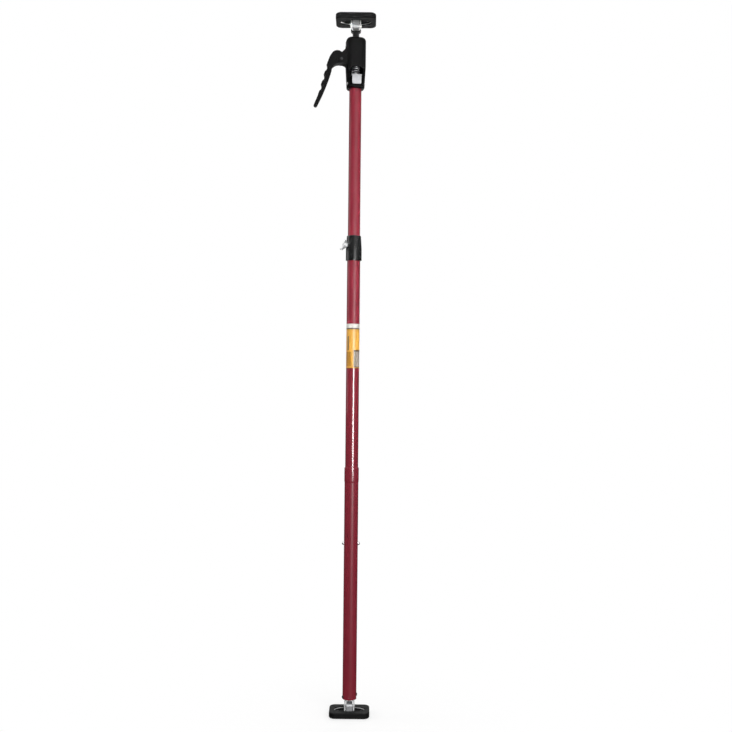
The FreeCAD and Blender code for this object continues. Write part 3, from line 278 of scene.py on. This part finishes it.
def paint(name, colour, deep, worn, specular=0.2, gloss=0.34, coat=0.55, coat_rough=0.06):
    """Powder coat: a faint mottle, fine orange peel, long rub marks and lighter worn edges."""
    g = Graph(bpy.data.materials.new(name))
    rounded, edge = g.edges(radius=0.0006)
    mottle = g.between(g.noise(scale=38, detail=6), 0, 1)
    rubs = g.between(g.noise(1, 8, g.stretched(RUB_MARKS)), 0, 0.12, start=0.64, end=0.82)
    chips = g.between(g.noise(scale=160, detail=3), 0, 0.55, start=0.52, end=0.66)
    rubbed_and_painted_highlight = g.blend(rubs, g.blend(mottle, colour, deep), worn)
    tint = g.blend(g.math("MULTIPLY", chips, edge), rubbed_and_painted_highlight, worn)
    rough = g.between(g.noise(scale=70, detail=5), gloss - 0.03, gloss + 0.05)
    peel = g.bump(g.noise(scale=700, detail=2), strength=0.02, distance=0.0002, normal=rounded)
    return g.finish(Base_Color=tint, Roughness=rough, Normal=peel, Specular_IOR_Level=specular,
                    Coat_Weight=coat, Coat_Roughness=coat_rough)


def moulded(name, colour, pale, grain=1500, rough=(0.46, 0.6), specular=0.3, bump=0.18):
    """Moulded plastic or rubber: a fine texture, faint flow marks and paler edges, partly handling wear and
    partly a painted edge sheen.
    """
    g = Graph(bpy.data.materials.new(name))
    rounded, edge = g.edges(radius=0.0007)
    flow = g.between(g.noise(scale=26, detail=5), 0, 0.5)
    dust = g.between(g.noise(scale=210, detail=6), 0.1, 0.8)
    # Paler edges: partly handling wear, partly a painted edge sheen
    worn_and_sheen_edges = paler(pale, gain=2.2, lift=0.012)
    tint = g.blend(g.math("MULTIPLY", dust, edge), g.blend(flow, colour, pale), worn_and_sheen_edges)
    shine = g.between(g.noise(scale=90, detail=4), *rough)
    texture = g.bump(g.noise(grain, detail=3), strength=bump, distance=0.0003, normal=rounded)
    return g.finish(Base_Color=tint, Roughness=shine, Normal=texture, Specular_IOR_Level=specular)


def metal(name, colour, dull, rough, metallic=1.0, painted_to=None):
    """Steel with drawing marks, a cloudy plate and brighter edges, painted black below any given height."""
    g = Graph(bpy.data.materials.new(name))
    rounded, edge = g.edges(radius=0.0005)
    cloud = g.between(g.noise(scale=120, detail=6), 0, 1)
    tint = g.blend(edge, g.blend(cloud, colour, dull), paler(colour, gain=1.08, lift=0.03))
    marks = g.noise(1, 5, g.stretched(DRAWING_MARKS))
    shine = g.between(marks, *rough)
    drawn = g.bump(marks, strength=0.1, distance=0.0002, normal=rounded)
    if painted_to is None:
        return g.finish(Base_Color=tint, Roughness=shine, Normal=drawn, Metallic=metallic)
    height = g.add("ShaderNodeSeparateXYZ", g.place()).outputs["Z"]
    wave = g.between(g.noise(scale=300, detail=4), -PAINT_EDGE_WAVE, PAINT_EDGE_WAVE)
    black = g.between(g.math("ADD", height, wave), 1.0, 0.0, painted_to - PAINT_EDGE_SOFT,
                      painted_to + PAINT_EDGE_SOFT)
    return g.finish(Base_Color=g.blend(black, tint, PAINT_BLACK), Roughness=shine, Normal=drawn,
                    Metallic=g.between(black, metallic, 0.0, start=0.0, end=1.0),
                    Specular_IOR_Level=g.between(black, 0.5, 0.15, start=0.0, end=1.0))


def printed(name, colour, other, scale=240):
    """A printed film: slight ink mottle under a smooth face."""
    g = Graph(bpy.data.materials.new(name))
    tint = g.blend(g.between(g.noise(scale, detail=5), 0, 1), colour, other)
    shine = g.between(g.noise(scale=60, detail=3), 0.3, 0.42)
    face = g.bump(g.noise(scale=700, detail=2), strength=0.03, distance=0.0003)
    return g.finish(Base_Color=tint, Roughness=shine, Normal=face, Specular_IOR_Level=0.45)


def make_materials():
    """The material of each of the record's slots."""
    return {
        "tube_paint": paint("red_powder_coat", (0.285, 0.024, 0.042), (0.26, 0.021, 0.037), (0.4, 0.1, 0.13)),
        "handle_plastic": moulded("handle_black", (0.0032, 0.0032, 0.0033), (0.0045, 0.0045, 0.0047),
                                  specular=0.08),
        "pad_plastic": moulded("pad_black", (0.006, 0.006, 0.0062), (0.009, 0.009, 0.0093), rough=(0.5, 0.64),
                               specular=0.07),
        "sole_rubber": moulded("sole_rubber", (0.0045, 0.0045, 0.0045), (0.007, 0.007, 0.0068), grain=900,
                               rough=(0.62, 0.8), specular=0.1, bump=0.3),
        "zinc_steel": metal("zinc_plate", **ZINC),
        "rod_black": paint("black_satin_coat", PAINT_BLACK, (0.009, 0.009, 0.0093), (0.06, 0.06, 0.063),
                           gloss=0.36, coat=0.1, coat_rough=0.2),
        "dark_steel": metal("black_oxide", (0.04, 0.04, 0.043), (0.07, 0.07, 0.074), rough=(0.36, 0.5)),
        "nylon": moulded("dark_nylon", (0.02, 0.02, 0.021), (0.032, 0.032, 0.033), grain=700,
                         rough=(0.5, 0.62)),
        "spring_steel": metal("spring_wire", (0.74, 0.745, 0.76), (0.6, 0.605, 0.62), rough=(0.2, 0.34),
                              metallic=0.8),
    }


def dress(materials):
    """Give every CAD node the material of its slot, or its own: the collar a finish of its own, the yokes,
    their rivets and the wing screw a lighter zinc as painted light, the lugs and release plate a darker zinc
    as painted shade.
    """
    paint_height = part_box("head_yoke")[0][2] + YOKE_PAINT_RISE
    # Lighter zinc as painted light, under the rod's black paint on the head yoke
    painted = metal("zinc_plate_half_painted", painted_to=paint_height, **LIT_ZINC)
    # Darker zinc as painted shade
    dull = metal("shaded_zinc_plate", **SHADED_ZINC)
    # Lighter zinc as painted light
    pale = metal("lit_zinc_plate", **LIT_ZINC)
    own = {
        "clamp_collar": moulded("collar_black", (0.011, 0.0112, 0.0116), (0.016, 0.0163, 0.0168),
                                rough=(0.2, 0.27), specular=0.75, bump=0.03),
        "wing_screw": pale,
        "foot_yoke": pale,
        "foot_yoke_rivet": pale,
        "foot_lug": dull,
        "head_lug": dull,
        "release_plate": dull,
        "head_yoke": painted,
        "head_yoke_rivet": painted,
    }
    for subpart in frame["record"]["subparts"]:
        mesh = frame["nodes"][subpart["node"]].data
        mesh.materials.clear()
        mesh.materials.append(own.get(subpart["node"]) or materials[subpart["material_slot"]])


def add_mesh(name, points, faces, material, smooth=True):
    mesh = bpy.data.meshes.new(name)
    mesh.from_pydata(points, [], faces)
    mesh.materials.append(material)
    for face in mesh.polygons:
        face.use_smooth = smooth
    made = bpy.data.objects.new(name, mesh)
    bpy.context.scene.collection.objects.link(made)
    return made


def bridge(first, second, count):
    """The faces between two closed rows of count points, given by the number of each row's first point."""
    faces = []
    for corner in range(count):
        beside = (corner + 1) % count
        faces.append((first + corner, second + corner, second + beside, first + beside))
    return faces


def swept(name, path, radius, material):
    """A round wire along a path of points, closed at both ends."""
    points = []
    faces = []
    for index, spot in enumerate(path):
        ahead = path[min(index + 1, len(path) - 1)] - path[max(index - 1, 0)]
        ahead.normalize()
        level = Vector((-ahead.y, ahead.x, 0)).normalized()
        upright = ahead.cross(level)
        for side in range(WIRE_SIDES):
            turn = 2 * math.pi * side / WIRE_SIDES
            points.append(spot + (level * math.cos(turn) + upright * math.sin(turn)) * radius)
        if index:
            first = (index - 1) * WIRE_SIDES
            second = index * WIRE_SIDES
            for side in range(WIRE_SIDES):
                beside = (side + 1) % WIRE_SIDES
                faces.append((first + side, first + beside, second + beside, second + side))
    faces.append(tuple(reversed(range(WIRE_SIDES))))
    faces.append(tuple(range(len(points) - WIRE_SIDES, len(points))))
    return add_mesh(name, points, faces, material)


def coil(name, spec, material):
    """A compression spring whose end turns lie flat."""
    wire = spec["wire"]
    low = spec["low"] + wire
    rise = spec["high"] - spec["low"] - 2 * wire
    flat = FLAT_TURN / spec["turns"]
    steps = COIL_STEPS * spec["turns"]
    path = []
    for step in range(steps + 1):
        share = step / steps
        climb = min(max((share - flat) / (1 - 2 * flat), 0), 1)
        closing = wire * (min(share / flat, 1) + min(max((share - 1 + flat) / flat, 0), 1))
        height = low + (rise - 2 * wire) * climb + closing
        turn = 2 * math.pi * spec["turns"] * share
        path.append(Vector((spec["coil"] * math.cos(turn), spec["coil"] * math.sin(turn), height)))
    return swept(name, path, wire, material)


def springs(steel):
    """The springs as round wire."""
    for node, spec in SPRINGS.items():
        made = coil(node + "_wire", spec, steel)
        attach(made, "upper_pole")
        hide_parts(node)
        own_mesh(made)


def clip_line(bow_foot, bottom):
    """From the bow's top down to an arm's end: each spot's direction from the bow's axis, and a height."""
    line = []
    for step in range(CLIP_STEPS + 1):
        turn = math.pi / 2 * (1 - step / CLIP_STEPS)
        line.append((math.cos(turn), math.sin(turn), bow_foot))
    for step in range(1, CLIP_STEPS + 1):
        line.append((1, 0, bow_foot + (bottom - bow_foot) * step / CLIP_STEPS))
    return line


def clip_arms(steel):
    """The snap clip's two arms, which meet at the top of its bow."""
    low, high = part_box("snap_clip")
    outer = high[0]
    inner = outer - CLIP_THICK
    section = ((outer, low[1]), (outer, high[1]), (inner, high[1]), (inner, low[1]))
    for side, button in ((-1, "snap_button_left"), (1, "snap_button_right")):
        points = []
        faces = []
        for index, (across, up, height) in enumerate(clip_line(high[2] - outer, low[2])):
            for reach, depth in section:
                points.append((side * reach * across, depth, height + reach * up))
            if index:
                faces += bridge((index - 1) * len(section), index * len(section), len(section))
        faces.append(tuple(range(len(section))))
        faces.append(tuple(reversed(range(len(points) - len(section), len(points)))))
        if side < 0:
            faces = [face[::-1] for face in faces]
        made = add_mesh(button.replace("button", "clip"), points, faces, steel, smooth=False)
        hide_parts("snap_clip")
        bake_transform(made)


def bead(name, height, material):
    points = []
    faces = []
    for step in range(BEAD_STEPS):
        turn = 2 * math.pi * step / BEAD_STEPS
        middle = Vector((BEAD_HALF_LENGTH * math.cos(turn), BEAD_HALF_WIDTH * math.sin(turn), height))
        outward = Vector((math.cos(turn) / BEAD_HALF_LENGTH, math.sin(turn) / BEAD_HALF_WIDTH, 0))
        outward.normalize()
        for side in range(WIRE_SIDES):
            around = 2 * math.pi * side / WIRE_SIDES
            reach = outward * math.cos(around) + Vector((0, 0, math.sin(around)))
            points.append(middle + reach * BEAD_RADIUS)
        following = (step + 1) % BEAD_STEPS
        faces += bridge(step * WIRE_SIDES, following * WIRE_SIDES, WIRE_SIDES)
    return add_mesh(name, points, faces, material)


def beads():
    """A pale bead round the wall of each pad's recess, whose grey is a painted highlight along the rim."""
    # Pale grey on the black pad: a painted highlight along the recess rim
    rubbed_and_painted_highlight = moulded("recess_painted_highlight", (0.42, 0.42, 0.425), (0.55, 0.55, 0.555), rough=(0.2, 0.3),
                     specular=0.6, bump=0.02)
    heights = {
        "foot_pad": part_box("foot_tray")[1][2] - BEAD_DEPTH,
        "head_pad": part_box("head_tray")[0][2] + BEAD_DEPTH,
    }
    for body, height in heights.items():
        made = bead(body + "_bead", height, rubbed_and_painted_highlight)
        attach(made, body)


def field_ink(turn, share):
    """The ink at a spot of the label, where a later field lies over an earlier one."""
    ink = "yellow"
    for name, (left, right), (low, high) in LABEL_FIELDS:
        if left < turn < right and low < share < high:
            ink = name
    return ink


def label():
    """A film wrapped on the middle tube, printed in plain fields."""
    inks = {
        "yellow": printed("label_yellow", (0.82, 0.41, 0.055), (0.87, 0.46, 0.075)),
        "white": printed("label_white", (0.6, 0.58, 0.54), (0.52, 0.5, 0.46), scale=420),
        "line": printed("label_line", (0.09, 0.05, 0.03), (0.14, 0.08, 0.05)),
        "bar": printed("label_bar", (0.12, 0.08, 0.04), (0.2, 0.13, 0.07), scale=500),
        "ochre": printed("label_ochre", (0.5, 0.22, 0.02), (0.56, 0.26, 0.03), scale=420),
        "panel": printed("label_panel", (0.46, 0.39, 0.33), (0.38, 0.31, 0.26), scale=380),
        "grey": printed("label_grey", (0.31, 0.28, 0.2), (0.26, 0.23, 0.17), scale=380),
    }
    names = list(inks)
    turns = set(range(-LABEL_WRAP, LABEL_WRAP + 1, LABEL_TURN))
    shares = set(LABEL_ROWS)
    for _, span, heights in LABEL_FIELDS:
        turns.update(span)
        shares.update(heights)
    turns = sorted(turns)
    shares = sorted(shares)
    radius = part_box("middle_tube")[1][0] + LABEL_STAND
    points = []
    for share in shares:
        height = LABEL_LOW + (LABEL_HIGH - LABEL_LOW) * share
        for turn in turns:
            around = math.radians(turn)
            points.append((radius * math.sin(around), -radius * math.cos(around), height))
    faces = []
    kinds = []
    width = len(turns)
    for row in range(len(shares) - 1):
        for column in range(width - 1):
            start = row * width + column
            faces.append((start, start + 1, start + width + 1, start + width))
            turn = (turns[column] + turns[column + 1]) / 2
            share = (shares[row] + shares[row + 1]) / 2
            kinds.append(names.index(field_ink(turn, share)))
    made = add_mesh("label", points, faces, inks["yellow"])
    for name in names[1:]:
        made.data.materials.append(inks[name])
    for face, kind in zip(made.data.polygons, kinds):
        face.material_index = kind
    film = made.modifiers.new("film", "SOLIDIFY")
    film.thickness = LABEL_THICK
    film.offset = -1
    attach(made, "lower_pole")


def stage():
    """A pale floor that keeps a soft shadow round the foot and runs out into white."""
    g = Graph(bpy.data.materials.new("pale_floor"))
    shadow = g.between(g.vector_math("LENGTH", g.place()), FLOOR_SHADOW, 0.0, *FLOOR_FADE)
    white = g.add("ShaderNodeEmission", Color=WHITE, Strength=1.0)
    plain = g.add("ShaderNodeBsdfDiffuse", Color=FLOOR_COLOUR)
    bounce = g.add("ShaderNodeBsdfDiffuse", Color=FLOOR_BOUNCE)
    final = g.mixed(g.direct_ray(), bounce, g.mixed(shadow, white, plain))
    g.add("ShaderNodeOutputMaterial", Surface=final.outputs[0])
    corners = []
    for across, back in ((-1, -1), (1, -1), (1, 1), (-1, 1)):
        corners.append((across * FLOOR_REACH, back * FLOOR_REACH, 0))
    floor = add_mesh("floor", corners, [(0, 1, 2, 3)], g.owner, smooth=False)
    floor.location.z = -FLOOR_DROP


def world():
    """White to the eye and in reflections, and a softer level for lighting."""
    g = Graph(bpy.data.worlds.new("studio"))
    strength = g.between(g.direct_ray(), WORLD_LIGHT, 1.0, start=0.0, end=1.0)
    background = g.add("ShaderNodeBackground", Color=WHITE, Strength=strength)
    g.add("ShaderNodeOutputWorld", Surface=background.outputs[0])
    bpy.context.scene.world = g.owner


def tent():
    """Black cloth round the set, open at the back and above, which only reflections see."""
    g = Graph(bpy.data.materials.new("black_cloth"))
    weave = g.noise(scale=400, detail=3)
    black = g.finish(Base_Color=g.blend(weave, (0.01, 0.01, 0.01), (0.016, 0.016, 0.016)),
                     Roughness=g.between(weave, 0.85, 0.95),
                     Normal=g.bump(weave, strength=0.1, distance=0.001), Specular_IOR_Level=0.0)
    points = []
    faces = []
    rows = len(TENT_PROFILE)
    for step in range(TENT_STEPS + 1):
        turn = math.radians(TENT_OPENING + (360 - 2 * TENT_OPENING) * step / TENT_STEPS)
        for reach, height in TENT_PROFILE:
            points.append((reach * math.sin(turn), reach * math.cos(turn), height))
        if step:
            for corner in range((step - 1) * rows, step * rows - 1):
                faces.append((corner, corner + 1, corner + rows + 1, corner + rows))
    cloth = add_mesh("tent", points, faces, black)
    cloth.visible_camera = False
    cloth.visible_diffuse = False
    cloth.visible_shadow = False
    cloth.visible_transmission = False


def softbox(name, place, aim, size, power, spread=180, lit=True, shiny=True):
    """A soft lamp, which may leave out the plain light or the highlights that it gives."""
    data = bpy.data.lights.new(name, "AREA")
    data.shape = "RECTANGLE"
    data.size, data.size_y = size
    data.energy = power
    data.spread = math.radians(spread)
    made = bpy.data.objects.new(name, data)
    made.location = place
    made.rotation_euler = (Vector(aim) - Vector(place)).to_track_quat("-Z", "Y").to_euler()
    made.visible_camera = False
    made.visible_diffuse = lit
    made.visible_glossy = shiny
    bpy.context.scene.collection.objects.link(made)


def camera():
    data = bpy.data.cameras.new("photo_view")
    data.lens = LENS_MM
    data.sensor_width = SENSOR_MM
    data.shift_y = (HORIZON_ROW - IMAGE_SIZE / 2) / IMAGE_SIZE
    made = bpy.data.objects.new("photo_view", data)
    made.location = CAMERA_PLACE
    made.rotation_euler = (math.pi / 2, math.radians(CAMERA_ROLL), 0)
    bpy.context.scene.collection.objects.link(made)
    bpy.context.scene.camera = made


materials = make_materials()
dress(materials)
springs(materials["spring_steel"])
clip_arms(materials["spring_steel"])
beads()
label()
stage()
world()
tent()
for lamp, settings in LAMPS.items():
    softbox(lamp, **settings)
camera()
bpy.context.scene.view_settings.view_transform = "Standard"
